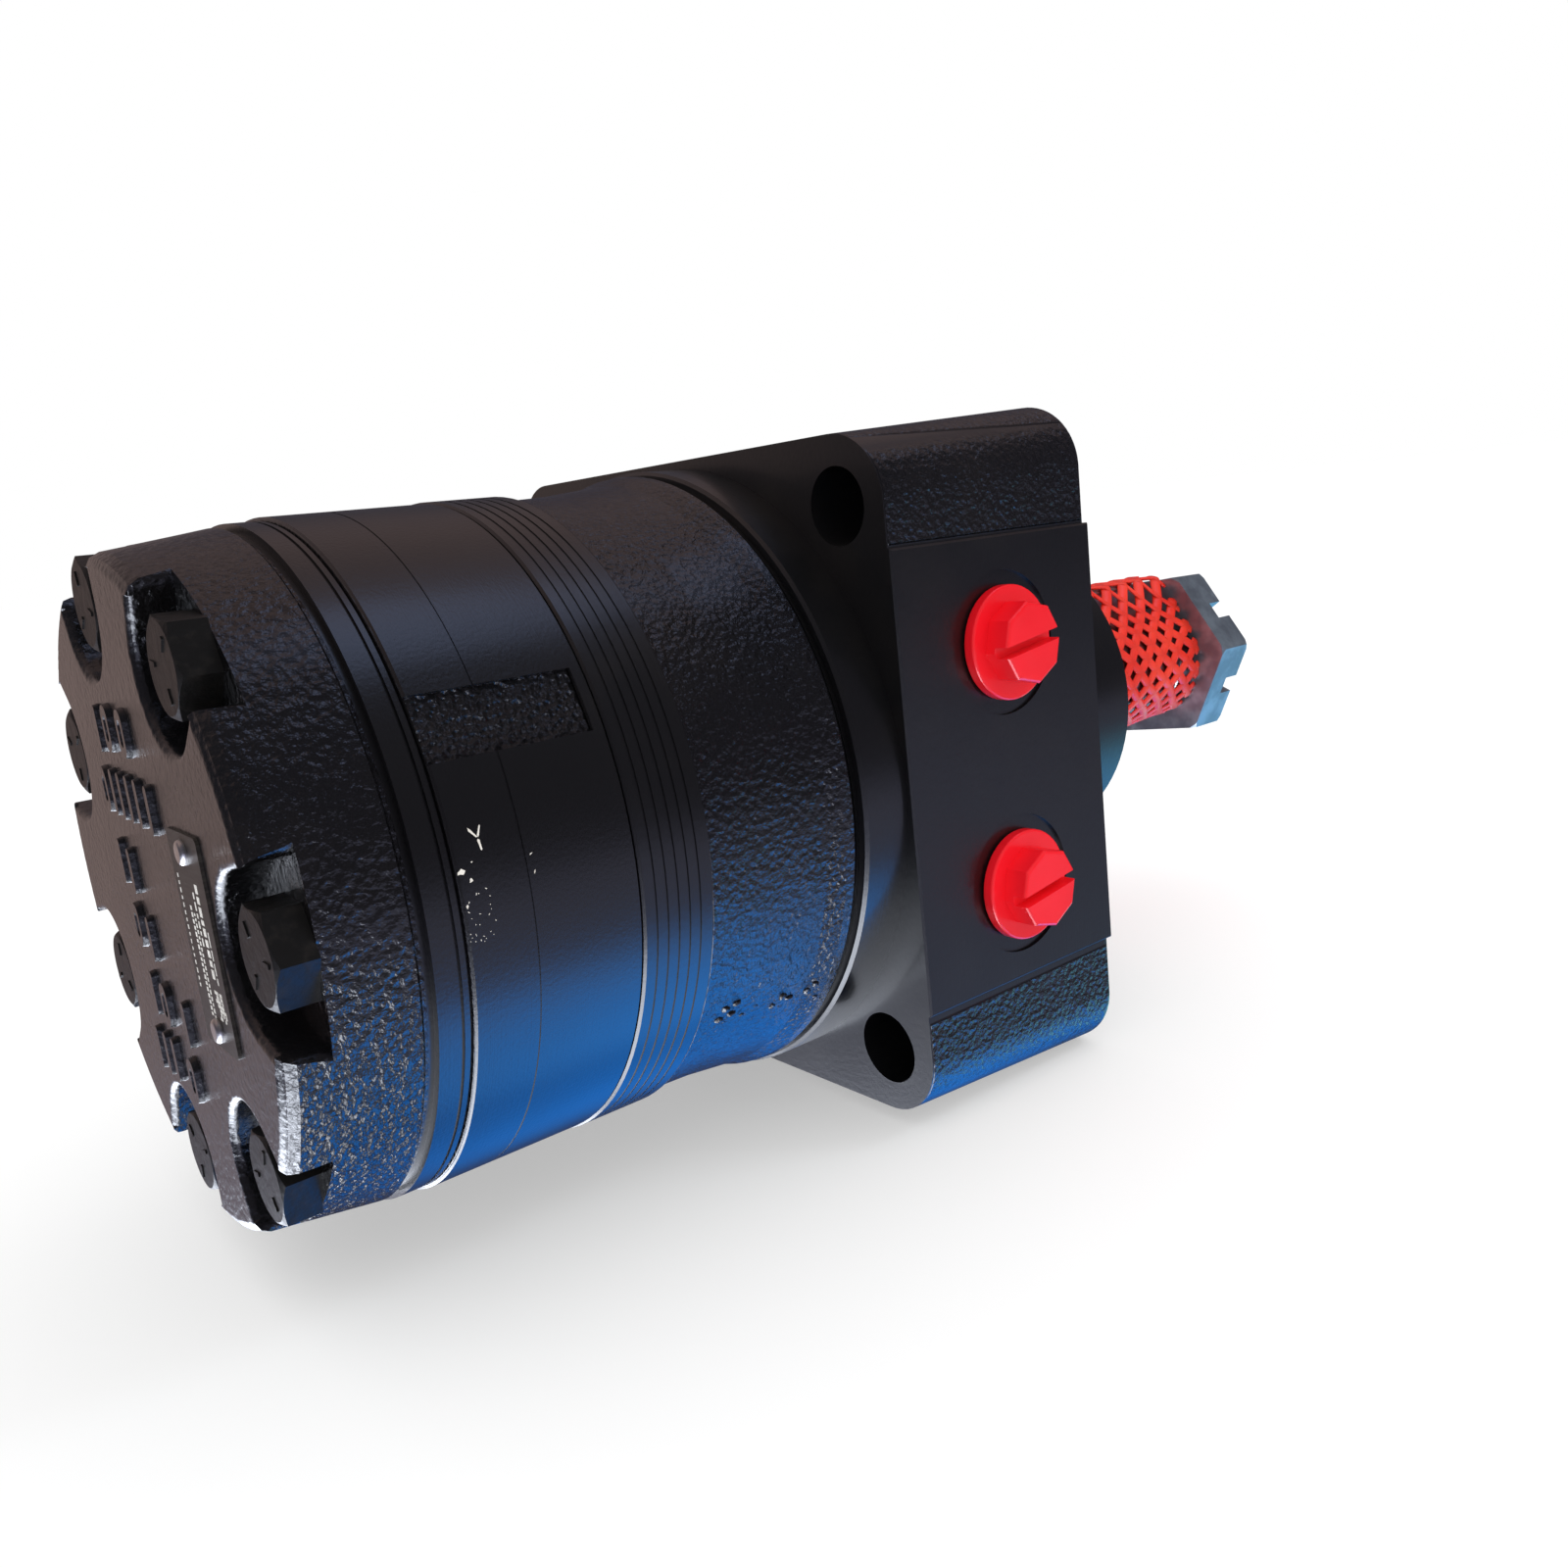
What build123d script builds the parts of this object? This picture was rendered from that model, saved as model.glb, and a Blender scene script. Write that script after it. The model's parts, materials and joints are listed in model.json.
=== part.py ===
"""Orbital (roller-gerotor) hydraulic wheel motor with a thick square mounting flange.

Frame: +X along the shaft towards its threaded end, -Y is the port side, +Z up.
The origin is where the shaft axis crosses the rear face of the mounting flange.
All sizes are millimetres.
"""

import os
from math import cos, hypot, pi, radians, sin, sqrt, tan

from build123d import *

# ---------------------------------------------------------------- stations along the shaft axis
COVER_FACE = -113.0
POCKET_FLOOR = -106.0
COVER_JOINT = -92.2
MANIFOLD_JOINT = -85.8
STATOR_JOINT = -56.2
TURNED_BAND_END = -42.5
BEAD_END = -11.4
PILOT_START = -10.2
FLANGE_THICKNESS = 55.0
BOSS_END = 102.0
TAPER_START = 105.0
TAPER_END = 155.0
NUT_START = 163.8
SHAFT_END = 176.0

# ---------------------------------------------------------------- outer sizes
FLANGE_SIZE = 130.0
FLANGE_FRONT_HEIGHT = 136.0
FLANGE_CORNER = 12.7
CAST_ALLOWANCE = 0.8
PAD_TOP = 44.0
PAD_BOTTOM = -43.0
PILOT_R = 63.5
BAND_R = 61.0
TURNED_GROOVES = 5
GROOVE_PITCH = 2.15
STATOR_R = 60.7
MANIFOLD_R = 60.1
STRIP_ANGLE = 26.6
STRIP_WIDTH = 10.8
STRIP_END = -58.4
BOSS_R = 38.4
MOUNT_HOLE_R = 7.15
MOUNT_SPACING = 104.4

# ---------------------------------------------------------------- cover bolts
BOLT_COUNT = 7
BOLT_CIRCLE_R = 50.7
BOLT_R = 4.75
BOLT_HOLE_R = 5.1
BOLT_TAPPED_R = 4.8
BOLT_END = -36.0
HEAD_AF = 14.3
HEAD_HEIGHT = 6.0
POCKET_R = 12.5
POCKET_FLARE = 13.0

# ---------------------------------------------------------------- rotor set
ROLLER_COUNT = 7
LOBE_COUNT = ROLLER_COUNT - 1
ROLLER_R = 5.8
ROLLER_CIRCLE_R = 34.0
ECCENTRICITY = 2.7
RUNNING_GAP = 0.05
LOBE_GAP = 0.05

# ---------------------------------------------------------------- splines and drive link
TOOTH_COUNT = 12
LINK_TIP_R = 15.3
LINK_ROOT_R = 13.2
SPLINE_MINOR_R = 13.9
SPLINE_MAJOR_R = 16.2
SHAFT_SPLINE_X = 5.0
ROTOR_X = (MANIFOLD_JOINT + STATOR_JOINT) / 2
BALL_X = -98.35
BALL_R = 5.5
LINK_SPAN = SHAFT_SPLINE_X - ROTOR_X
COMMUTATOR_OFFSET = ECCENTRICITY * (SHAFT_SPLINE_X - BALL_X) / LINK_SPAN

# ---------------------------------------------------------------- ports
PORT_X = 27.5
PORT_Z = 23.8
PORT_R = 9.55
SPOTFACE_R = 13.8
SPOTFACE_DEPTH = 0.6
PASSAGE_R = 3.0
PASSAGE_ANGLE = 180.0 + 180.0 / BOLT_COUNT
PASSAGE_SEAT_R = 5.3
INLET_X = -97.5
INLET_R = 2.5

# ---------------------------------------------------------------- bearings, seals and shaft
REAR_BORE_R = 34.5
REAR_JOURNAL_R = 24.0
REAR_ROLLER_R = 3.45
REAR_ROLLER_COUNT = 20
FRONT_JOURNAL_R = 21.0
FRONT_ROLLER_R = 2.95
FRONT_ROLLER_COUNT = 22
RACE_WALL = 3.5
SEAL_JOURNAL_R = 20.5
TAPER_LARGE_R = 19.05
TAPER_RATIO = 1 / 16
THREAD_R = 14.29
KEY_WIDTH = 9.5
KEY_BOTTOM = 13.0
KEY_TOP = 22.5
KEY_START = 118.0
KEY_END = 150.0
NUT_AF = 43.6
NUT_TURN = -5.2

# ---------------------------------------------------------------- seats shared by neighbours
WEAR_PLATE_END = -50.2
CHAMBER_FLOOR = -104.5
WALL_PLATE_R = 41.0
RING_GROOVE = (42.4, 44.6)
GROOVE_DEPTH = 1.6

FROM_START = (Align.CENTER, Align.CENTER, Align.MIN)

os.makedirs("parts", exist_ok=True)


def save(built, label):
    """Name a finished piece and write it as its own file."""
    built.part.label = label
    export_step(built.part, f"parts/{label}.step")


def station(x):
    """Cross-section plane at one station: its own x is +Y, its own y is +Z."""
    return Plane.YZ.offset(x)


def disc(x_start, x_end, radius, mode=Mode.ADD):
    """Cylinder about the shaft axis between two stations, in the part being built."""
    with Locations(station(x_start)):
        Cylinder(radius, x_end - x_start, align=FROM_START, mode=mode)


def ring(x_start, x_end, inner, outer):
    """Plain ring about the shaft axis, in the part being built."""
    disc(x_start, x_end, outer)
    disc(x_start, x_end, inner, mode=Mode.SUBTRACT)


def circle_of(count, radius, first_angle, x_start, x_end, hole_r, mode=Mode.SUBTRACT):
    """Cylinders parallel to the shaft, evenly spaced on a circle about its axis."""
    with Locations(station(x_start)):
        with PolarLocations(radius, count, start_angle=first_angle):
            Cylinder(hole_r, x_end - x_start, align=FROM_START, mode=mode)


def tooth_outline(inner_r, inner_half, outer_r, outer_half):
    """Closed straight-sided outline of one spline tooth or space, pointing along local x."""
    return [
        (inner_r, -inner_half),
        (outer_r, -outer_half),
        (outer_r, outer_half),
        (inner_r, inner_half),
    ]


def roller_circle(count, radius, roller_r, x_start, x_end):
    """Separate bearing rollers parallel to the shaft."""
    circle_of(count, radius, 0, x_start, x_end, roller_r, mode=Mode.ADD)


def taper_radius(x):
    """Radius of the 1:8 shaft taper at a station."""
    return TAPER_LARGE_R - (x - TAPER_START) * TAPER_RATIO


# ================================================================ housing
half = FLANGE_SIZE / 2
with BuildPart() as housing:
    # barrel: turned band, rough cast length that flares to a bead, undercut and pilot ring
    with BuildSketch(Plane.XY):
        with BuildLine():
            Polyline(
                (STATOR_JOINT, 0),
                (STATOR_JOINT, BAND_R - 0.4),
                (STATOR_JOINT + 0.4, BAND_R),
                (TURNED_BAND_END, BAND_R),
                (TURNED_BAND_END + 0.5, BAND_R - 1.1),
                (-30.0, 60.2),
                (-18.0, 61.3),
                (-14.2, 62.6),
                (-12.6, 62.8),
                (BEAD_END, 61.8),
                (PILOT_START, 61.5),
                (PILOT_START, PILOT_R - 0.6),
                (PILOT_START + 0.6, PILOT_R),
                (2.0, PILOT_R),
                (2.0, 0),
                close=True,
            )
        make_face()
    revolve(axis=Axis.X)
    # square flange, drafted so that it is taller in front, with a raised machined pad for the ports
    for x, height in ((0, FLANGE_SIZE), (FLANGE_THICKNESS, FLANGE_FRONT_HEIGHT)):
        with BuildSketch(station(x)):
            with Locations((CAST_ALLOWANCE / 2, 0)):
                RectangleRounded(FLANGE_SIZE - CAST_ALLOWANCE, height, FLANGE_CORNER)
    loft()
    front_outline = housing.edges().group_by(Axis.X)[-1]
    fillet(front_outline, radius=1.6)
    with BuildSketch(Plane.XZ.offset(half - 4.0)):
        with Locations((FLANGE_THICKNESS / 2, (PAD_TOP + PAD_BOTTOM) / 2)):
            Rectangle(FLANGE_THICKNESS, PAD_TOP - PAD_BOTTOM)
    extrude(amount=4.0)
    pad_rim = housing.faces().sort_by(Axis.Y)[0].outer_wire().edges()
    chamfer(pad_rim, length=0.4)
    # shaft boss
    disc(FLANGE_THICKNESS - 1.0, BOSS_END, BOSS_R)
    boss_rim = housing.edges().group_by(Axis.X)[-1]
    chamfer(boss_rim, length=1.2)
    boss_root = housing.edges().filter_by(GeomType.CIRCLE)
    boss_root = [e for e in boss_root if abs(e.center().X - FLANGE_THICKNESS) < 0.01]
    boss_root = [e for e in boss_root if abs(e.radius - BOSS_R) < 0.01]
    fillet(boss_root, radius=4.0)
    # stepped bore: wear plate seat, rear bearing, core, front bearing, shaft seal, wiper
    with BuildSketch(Plane.XY):
        with BuildLine():
            Polyline(
                (STATOR_JOINT - 1, 0),
                (STATOR_JOINT - 1, WALL_PLATE_R + 0.05),
                (WEAR_PLATE_END, WALL_PLATE_R + 0.05),
                (WEAR_PLATE_END, REAR_BORE_R),
                (-11.5, REAR_BORE_R),
                (-11.5, 31.0),
                (57.0, 31.0),
                (57.0, 30.5),
                (79.0, 30.5),
                (79.0, 28.0),
                (90.0, 28.0),
                (90.0, 21.6),
                (95.0, 21.6),
                (95.0, 26.5),
                (BOSS_END + 1, 26.5),
                (BOSS_END + 1, 0),
                close=True,
            )
        make_face()
    revolve(axis=Axis.X, mode=Mode.SUBTRACT)
    # tapped holes for the long cover bolts
    circle_of(BOLT_COUNT, BOLT_CIRCLE_R, 180, STATOR_JOINT, BOLT_END + 2, BOLT_TAPPED_R)
    # seal groove and the seat of the passage seal in the rear face
    with BuildSketch(station(STATOR_JOINT)):
        Circle(RING_GROOVE[1])
        Circle(RING_GROOVE[0], mode=Mode.SUBTRACT)
        with PolarLocations(BOLT_CIRCLE_R, 1, start_angle=PASSAGE_ANGLE):
            Circle(PASSAGE_SEAT_R)
    extrude(amount=GROOVE_DEPTH, mode=Mode.SUBTRACT)
    # shallow turned grooves round the band
    for groove in range(TURNED_GROOVES):
        with BuildSketch(station(STATOR_JOINT + (groove + 1) * GROOVE_PITCH)):
            Circle(BAND_R + 1)
            Circle(BAND_R - 0.2, mode=Mode.SUBTRACT)
        extrude(amount=0.45, mode=Mode.SUBTRACT)
    # four mounting holes
    with Locations(station(0)):
        with GridLocations(MOUNT_SPACING, MOUNT_SPACING, 2, 2):
            Cylinder(MOUNT_HOLE_R, FLANGE_THICKNESS, align=FROM_START, mode=Mode.SUBTRACT)
    # ports: spotface, threaded bore, then one drilling to the core and one to the long passage
    for port_z in (PORT_Z, -PORT_Z):
        mouth = Plane(origin=(PORT_X, -half, port_z), x_dir=(1, 0, 0), z_dir=(0, 1, 0))
        with Locations(mouth):
            Cylinder(SPOTFACE_R, SPOTFACE_DEPTH, align=FROM_START, mode=Mode.SUBTRACT)
            Cylinder(PORT_R, 19.0, align=FROM_START, mode=Mode.SUBTRACT)
    core_drilling = Plane(origin=(PORT_X, -half, PORT_Z), x_dir=(1, 0, 0), z_dir=(0, 1, 0))
    with Locations(core_drilling):
        Cylinder(5.0, 48.0, align=FROM_START, mode=Mode.SUBTRACT)
    circle_of(1, BOLT_CIRCLE_R, PASSAGE_ANGLE, STATOR_JOINT, PORT_X, PASSAGE_R)
save(housing, "housing")

# ================================================================ wear plate
with BuildPart() as wear_plate:
    ring(STATOR_JOINT, WEAR_PLATE_END, 17.5, WALL_PLATE_R)
save(wear_plate, "wear_plate")

# ================================================================ stator ring
pocket_reach = ROLLER_CIRCLE_R + 2 * ECCENTRICITY - ROLLER_R + 0.35
with BuildPart() as stator_ring:
    disc(MANIFOLD_JOINT, STATOR_JOINT, STATOR_R)
    chamfer(stator_ring.edges().filter_by(GeomType.CIRCLE), length=0.4)
    disc(MANIFOLD_JOINT, STATOR_JOINT, pocket_reach, mode=Mode.SUBTRACT)
    circle_of(ROLLER_COUNT, ROLLER_CIRCLE_R, 0, MANIFOLD_JOINT, STATOR_JOINT, ROLLER_R + RUNNING_GAP)
    circle_of(BOLT_COUNT, BOLT_CIRCLE_R, 180, MANIFOLD_JOINT, STATOR_JOINT, BOLT_HOLE_R)
    circle_of(1, BOLT_CIRCLE_R, PASSAGE_ANGLE, MANIFOLD_JOINT, STATOR_JOINT, PASSAGE_R)
    with BuildSketch(station(MANIFOLD_JOINT)):
        Circle(RING_GROOVE[1])
        Circle(RING_GROOVE[0], mode=Mode.SUBTRACT)
        with PolarLocations(BOLT_CIRCLE_R, 1, start_angle=PASSAGE_ANGLE):
            Circle(PASSAGE_SEAT_R)
    extrude(amount=GROOVE_DEPTH, mode=Mode.SUBTRACT)
    # unmachined strip left across the rim on the port side, short of the housing
    with BuildSketch(station(MANIFOLD_JOINT)):
        with PolarLocations(STATOR_R - 0.85, 1, start_angle=180 - STRIP_ANGLE):
            Rectangle(4.0, STRIP_WIDTH, align=(Align.MIN, Align.CENTER))
    extrude(amount=STRIP_END - MANIFOLD_JOINT, mode=Mode.SUBTRACT)
    # fine turned line round the rim
    with BuildSketch(station(-75.1)):
        Circle(STATOR_R + 1)
        Circle(STATOR_R - 0.15, mode=Mode.SUBTRACT)
    extrude(amount=0.3, mode=Mode.SUBTRACT)
save(stator_ring, "stator_ring")

# ================================================================ stator rollers
for index in range(ROLLER_COUNT):
    angle = radians(360 / ROLLER_COUNT * index)
    centre = (ROLLER_CIRCLE_R * cos(angle), ROLLER_CIRCLE_R * sin(angle))
    with BuildPart() as roller:
        with BuildSketch(station(MANIFOLD_JOINT + RUNNING_GAP)):
            with Locations(centre):
                Circle(ROLLER_R)
        extrude(amount=STATOR_JOINT - MANIFOLD_JOINT - 2 * RUNNING_GAP)
        chamfer(roller.edges().filter_by(GeomType.CIRCLE), length=0.4)
    save(roller, f"stator_roller_{index + 1}")

# ================================================================ rotor
PROFILE_STEPS = 24 * LOBE_COUNT


def rotor_point(turn):
    """Point of the rotor outline: the path of a roller centre moved inward by the roller radius."""
    path_y = ROLLER_CIRCLE_R * cos(turn) - ECCENTRICITY * cos(ROLLER_COUNT * turn)
    path_z = ROLLER_CIRCLE_R * sin(turn) - ECCENTRICITY * sin(ROLLER_COUNT * turn)
    run_y = -ROLLER_CIRCLE_R * sin(turn) + ROLLER_COUNT * ECCENTRICITY * sin(ROLLER_COUNT * turn)
    run_z = ROLLER_CIRCLE_R * cos(turn) - ROLLER_COUNT * ECCENTRICITY * cos(ROLLER_COUNT * turn)
    inset = (ROLLER_R + LOBE_GAP) / hypot(run_y, run_z)
    return (path_y - run_z * inset + ECCENTRICITY, path_z + run_y * inset)


rotor_outline = [rotor_point(2 * pi * step / PROFILE_STEPS) for step in range(PROFILE_STEPS)]
with BuildPart() as rotor:
    with BuildSketch(station(MANIFOLD_JOINT + RUNNING_GAP)):
        with BuildLine():
            Spline(*rotor_outline, periodic=True)
        make_face()
    extrude(amount=STATOR_JOINT - MANIFOLD_JOINT - 2 * RUNNING_GAP)
    with BuildSketch(station(MANIFOLD_JOINT)):
        with Locations((ECCENTRICITY, 0)):
            Circle(SPLINE_MINOR_R)
            with PolarLocations(0, TOOTH_COUNT):
                Polygon(*tooth_outline(SPLINE_MINOR_R - 1.0, 2.7, SPLINE_MAJOR_R, 1.8), align=None)
    extrude(amount=STATOR_JOINT - MANIFOLD_JOINT, mode=Mode.SUBTRACT)
save(rotor, "rotor")

# ================================================================ manifold plate
with BuildPart() as manifold_plate:
    disc(COVER_JOINT, MANIFOLD_JOINT, MANIFOLD_R)
    # half of the deep joint groove on the cover side, a fine pair of lines on the stator side
    disc(COVER_JOINT, COVER_JOINT + 0.9, MANIFOLD_R + 1, mode=Mode.SUBTRACT)
    disc(COVER_JOINT, COVER_JOINT + 0.9, MANIFOLD_R - 1.5)
    with BuildSketch(station(MANIFOLD_JOINT - 1.9)):
        Circle(MANIFOLD_R + 1)
        Circle(MANIFOLD_R - 0.5, mode=Mode.SUBTRACT)
    extrude(amount=0.5, mode=Mode.SUBTRACT)
    with BuildSketch(station(MANIFOLD_JOINT - 0.5)):
        Circle(MANIFOLD_R + 1)
        Circle(MANIFOLD_R - 0.7, mode=Mode.SUBTRACT)
    extrude(amount=0.5, mode=Mode.SUBTRACT)
    disc(COVER_JOINT, MANIFOLD_JOINT, 10.5, mode=Mode.SUBTRACT)
    circle_of(BOLT_COUNT, BOLT_CIRCLE_R, 180, COVER_JOINT, MANIFOLD_JOINT, BOLT_HOLE_R)
    circle_of(1, BOLT_CIRCLE_R, PASSAGE_ANGLE, COVER_JOINT, MANIFOLD_JOINT, PASSAGE_R)
    circle_of(BOLT_COUNT, 26.0, 180, COVER_JOINT, MANIFOLD_JOINT, 3.2)
save(manifold_plate, "manifold_plate")

# ================================================================ end cover
# axis of the drilling from the long passage inward to the commutator chamber
inlet_way = (0, cos(radians(PASSAGE_ANGLE)), sin(radians(PASSAGE_ANGLE)))
INLET_PLANE = Plane(origin=(INLET_X, 0, 0), x_dir=(1, 0, 0), z_dir=inlet_way)

flare = radians(POCKET_FLARE)
reach = 14.0
side_start = (-POCKET_R * sin(flare), POCKET_R * cos(flare))
side_end = (reach, side_start[1] + (reach - side_start[0]) * tan(flare))
pocket_side = [
    (side_start[0], -side_start[1]),
    (side_end[0], -side_end[1]),
    side_end,
    side_start,
]
# (y, z, hollow) of every raised mark
MARK_LENGTH = 8.4
MARK_HEIGHT = 0.9
CAST_MARKS = [
    (12.0, 28.8, False),
    (4.6, 29.2, True),
    (-5.2, 28.9, True),
    (15.6, 18.0, True),
    (9.6, 18.0, False),
    (4.4, 17.8, False),
    (-1.2, 17.8, False),
    (-6.8, 17.6, False),
    (-13.4, 17.2, False),
    (15.2, 5.2, False),
    (9.0, 4.2, False),
    (13.2, -6.2, True),
    (5.4, -7.4, False),
    (12.0, -18.6, False),
    (4.8, -19.2, True),
    (-7.6, -19.8, False),
    (17.0, -30.0, False),
    (11.4, -29.8, False),
    (6.0, -29.6, False),
    (-4.4, -30.6, True),
]
FACE_PLANE = Plane(origin=(COVER_FACE, 0, 0), x_dir=(0, 1, 0), z_dir=(-1, 0, 0))
SCREW_SPOTS = [(-28.5, 12.5), (-28.5, -15.5)]
with BuildPart() as end_cover:
    # lands between the bolt pockets
    with BuildSketch(station(COVER_FACE)) as lands:
        Circle(58.2)
        with PolarLocations(BOLT_CIRCLE_R, BOLT_COUNT, start_angle=180):
            Circle(POCKET_R, mode=Mode.SUBTRACT)
            Polygon(*pocket_side, align=None, mode=Mode.SUBTRACT)
        land_corners = [v for v in lands.vertices() if hypot(v.X, v.Y) > 57.5]
        fillet(land_corners, radius=2.5)
    extrude(amount=POCKET_FLOOR - COVER_FACE)
    disc(POCKET_FLOOR, COVER_JOINT, 62.0)
    # drafted cast side with a rounded face edge and half of the joint groove
    with BuildSketch(Plane.XY):
        with BuildLine():
            Polyline(
                (COVER_FACE, 0),
                (COVER_FACE, 55.2),
                (COVER_FACE + 0.7, 56.6),
                (COVER_FACE + 2.2, 57.4),
                (COVER_JOINT - 1.3, 59.6),
                (COVER_JOINT - 0.9, 59.3),
                (COVER_JOINT - 0.9, 58.6),
                (COVER_JOINT, 58.6),
                (COVER_JOINT, 0),
                close=True,
            )
        make_face()
    revolve(axis=Axis.X, mode=Mode.INTERSECT)
    face_edges = end_cover.faces().sort_by(Axis.X)[0].outer_wire().edges()
    fillet(face_edges, radius=1.3)
    # raised cast marks on the face: plain bars, some of them with a hollow middle
    with BuildSketch(FACE_PLANE):
        for mark_y, mark_z, hollow in CAST_MARKS:
            with Locations((mark_y, -mark_z)):
                SlotOverall(MARK_LENGTH, 4.6 if hollow else 2.2, rotation=90)
        for mark_y, mark_z, hollow in CAST_MARKS:
            if hollow:
                with Locations((mark_y, -mark_z)):
                    SlotOverall(MARK_LENGTH - 4.4, 1.3, rotation=90, mode=Mode.SUBTRACT)
    extrude(amount=MARK_HEIGHT, taper=14)
    # chamber for the commutator and its ring, bolt holes, seal groove, oil passage
    disc(CHAMBER_FLOOR, COVER_JOINT, WALL_PLATE_R + 0.05, mode=Mode.SUBTRACT)
    circle_of(BOLT_COUNT, BOLT_CIRCLE_R, 180, POCKET_FLOOR - 1, COVER_JOINT, BOLT_HOLE_R)
    circle_of(1, BOLT_CIRCLE_R, PASSAGE_ANGLE, INLET_X - 1.5, COVER_JOINT, PASSAGE_R)
    with BuildSketch(station(COVER_JOINT - GROOVE_DEPTH)):
        Circle(RING_GROOVE[1])
        Circle(RING_GROOVE[0], mode=Mode.SUBTRACT)
        with PolarLocations(BOLT_CIRCLE_R, 1, start_angle=PASSAGE_ANGLE):
            Circle(PASSAGE_SEAT_R)
    extrude(amount=GROOVE_DEPTH, mode=Mode.SUBTRACT)
    with Locations(INLET_PLANE):
        Cylinder(INLET_R, BOLT_CIRCLE_R, align=FROM_START, mode=Mode.SUBTRACT)
    # two blind holes for the nameplate drive screws
    with Locations(station(COVER_FACE)):
        with Locations(*SCREW_SPOTS):
            Cylinder(1.05, 5.5, align=FROM_START, mode=Mode.SUBTRACT)
save(end_cover, "end_cover")

# ================================================================ cover bolts
# round envelope that gives the heads their chamfer; it isn't a piece of its own
with BuildPart() as head_envelope:
    with Locations(station(POCKET_FLOOR - HEAD_HEIGHT)):
        with PolarLocations(BOLT_CIRCLE_R, BOLT_COUNT, start_angle=180):
            Cylinder(8.5, BOLT_END - POCKET_FLOOR + HEAD_HEIGHT, align=FROM_START)
    chamfer(head_envelope.edges().group_by(Axis.X)[0], length=0.7, length2=1.5)

with BuildPart() as cover_bolts:
    with Locations(station(POCKET_FLOOR)):
        with PolarLocations(BOLT_CIRCLE_R, BOLT_COUNT, start_angle=180):
            Cylinder(BOLT_R, BOLT_END - POCKET_FLOOR, align=FROM_START)
    with BuildSketch(station(POCKET_FLOOR - HEAD_HEIGHT)):
        with PolarLocations(BOLT_CIRCLE_R, BOLT_COUNT, start_angle=180):
            RegularPolygon(HEAD_AF / 2, 6, major_radius=False)
    extrude(amount=HEAD_HEIGHT)
    add(head_envelope.part, mode=Mode.INTERSECT)
    # raised grade ticks on every head
    with BuildSketch(station(POCKET_FLOOR - HEAD_HEIGHT - 0.25)):
        with PolarLocations(BOLT_CIRCLE_R, BOLT_COUNT, start_angle=180):
            with PolarLocations(4.4, 3):
                Rectangle(2.4, 0.7)
    extrude(amount=0.5)
save(cover_bolts, "cover_bolts")

# ================================================================ nameplate and its drive screws
PLATE_THICKNESS = 0.5
PLATE_CENTRE = (-28.5, -1.5)
with BuildPart() as nameplate:
    with BuildSketch(station(COVER_FACE - PLATE_THICKNESS)):
        with Locations(PLATE_CENTRE):
            RectangleRounded(16.0, 34.0, 1.2)
        with Locations(*SCREW_SPOTS):
            Circle(1.15, mode=Mode.SUBTRACT)
    extrude(amount=PLATE_THICKNESS)
save(nameplate, "nameplate")

with BuildPart() as nameplate_screws:
    with Locations(station(COVER_FACE - PLATE_THICKNESS)):
        with Locations(*SCREW_SPOTS):
            Cylinder(1.0, PLATE_THICKNESS + 5.0, align=FROM_START)
    with Locations(station(COVER_FACE - PLATE_THICKNESS - 0.9)):
        with Locations(*SCREW_SPOTS):
            Cylinder(2.0, 0.9, align=FROM_START)
    fillet(nameplate_screws.edges().group_by(Axis.X)[0], radius=0.7)
save(nameplate_screws, "nameplate_screws")

# ================================================================ commutator set
with BuildPart() as commutator_ring:
    ring(CHAMBER_FLOOR, COVER_JOINT, 34.3, WALL_PLATE_R)
    with Locations(INLET_PLANE):
        Cylinder(INLET_R, BOLT_CIRCLE_R, align=FROM_START, mode=Mode.SUBTRACT)
save(commutator_ring, "commutator_ring")

COMMUTATOR_START = -104.2
COMMUTATOR_END = COVER_JOINT - 0.1
COMMUTATOR_R = 30.0
with BuildPart() as commutator:
    with BuildSketch(station(COMMUTATOR_START)):
        with Locations((COMMUTATOR_OFFSET, 0)):
            Circle(COMMUTATOR_R)
            Circle(BALL_R + 0.1, mode=Mode.SUBTRACT)
            with PolarLocations(21.0, 8):
                Circle(2.2, mode=Mode.SUBTRACT)
    extrude(amount=COMMUTATOR_END - COMMUTATOR_START)
    # land groove on the manifold side and seal groove on the cover side
    with BuildSketch(station(COMMUTATOR_END - 4.0)):
        with Locations((COMMUTATOR_OFFSET, 0)):
            Circle(17.0)
            Circle(11.0, mode=Mode.SUBTRACT)
    extrude(amount=4.0, mode=Mode.SUBTRACT)
    with BuildSketch(station(COMMUTATOR_START)):
        with Locations((COMMUTATOR_OFFSET, 0)):
            Circle(27.0)
            Circle(24.5, mode=Mode.SUBTRACT)
    extrude(amount=2.2, mode=Mode.SUBTRACT)
save(commutator, "commutator")

with BuildPart() as commutator_seal:
    with BuildSketch(station(COMMUTATOR_START - 0.2)):
        with Locations((COMMUTATOR_OFFSET, 0)):
            Circle(26.95)
            Circle(24.55, mode=Mode.SUBTRACT)
    extrude(amount=2.3)
save(commutator_seal, "commutator_seal")

# ================================================================ drive link
# built along its own tilted axis, from the centre of the shaft spline back to the ball nose
CROWN_HALF = 10.5
CROWN_DROP = 0.9
link_way = Vector(-LINK_SPAN, ECCENTRICITY, 0)
link_length = link_way.length
link_way = link_way.normalized()
link_across = Vector(ECCENTRICITY, LINK_SPAN, 0)
link_origin = Vector(SHAFT_SPLINE_X, 0, 0)
ball_reach = (SHAFT_SPLINE_X - BALL_X) / LINK_SPAN * link_length


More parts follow.
